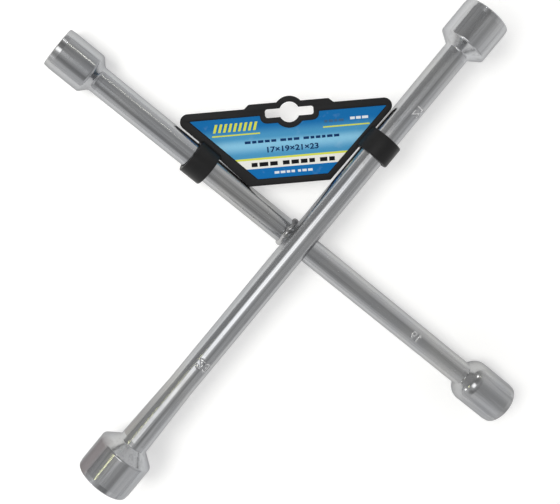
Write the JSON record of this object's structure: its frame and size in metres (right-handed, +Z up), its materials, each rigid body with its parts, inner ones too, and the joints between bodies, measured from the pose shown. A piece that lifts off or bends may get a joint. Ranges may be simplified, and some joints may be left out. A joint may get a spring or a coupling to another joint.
{
  "type": "four-way lug wrench",
  "caption": "Cross-shaped wheel nut wrench: two round bars welded across each other with hex sockets at the ends, and a clip-on plastic hang tag.",
  "frame": {"origin": "bottom centre of the bounding box; the crossing stands 6.8 mm to +X and 2.45 mm to +Y of it", "axes": "+X along the upper bar towards the 21 mm socket, +Y along the lower bar towards the 17 mm socket, +Z up, away from what the wrench lies on"},
  "size_m": [0.3546, 0.3536, 0.0468],
  "materials": {
    "chrome_bar": "satin-bright chrome plate over drawn steel bar, faint die lines along it",
    "chrome_socket": "chrome plate over forged and turned steel",
    "chrome_weld": "chrome plate over a rippled weld bead, duller than the bar",
    "black_plastic": "satin black injection-moulded polypropylene",
    "printed_label": "glossy printed film, blue with yellow rules and a cream band",
    "plain_label": "plain white sticker"
  },
  "bodies": {
    "wrench": {"upper_bar": "chrome_bar", "lower_bar": "chrome_bar", "socket_23": "chrome_socket", "socket_21": "chrome_socket", "socket_19": "chrome_socket", "socket_17": "chrome_socket", "weld_bead_1": "chrome_weld", "weld_bead_2": "chrome_weld"},
    "hang_tag": {"tag_frame": "black_plastic", "left_clip": "black_plastic", "right_clip": "black_plastic", "front_label": "printed_label", "back_label": "plain_label"}
  },
  "joints": [
    {"name": "tag_release", "type": "slide", "parent": "wrench", "child": "hang_tag", "axis": [0, 0, 1], "range_m": [0, 0.045], "deforming": ["left_clip", "right_clip"]}
  ]
}
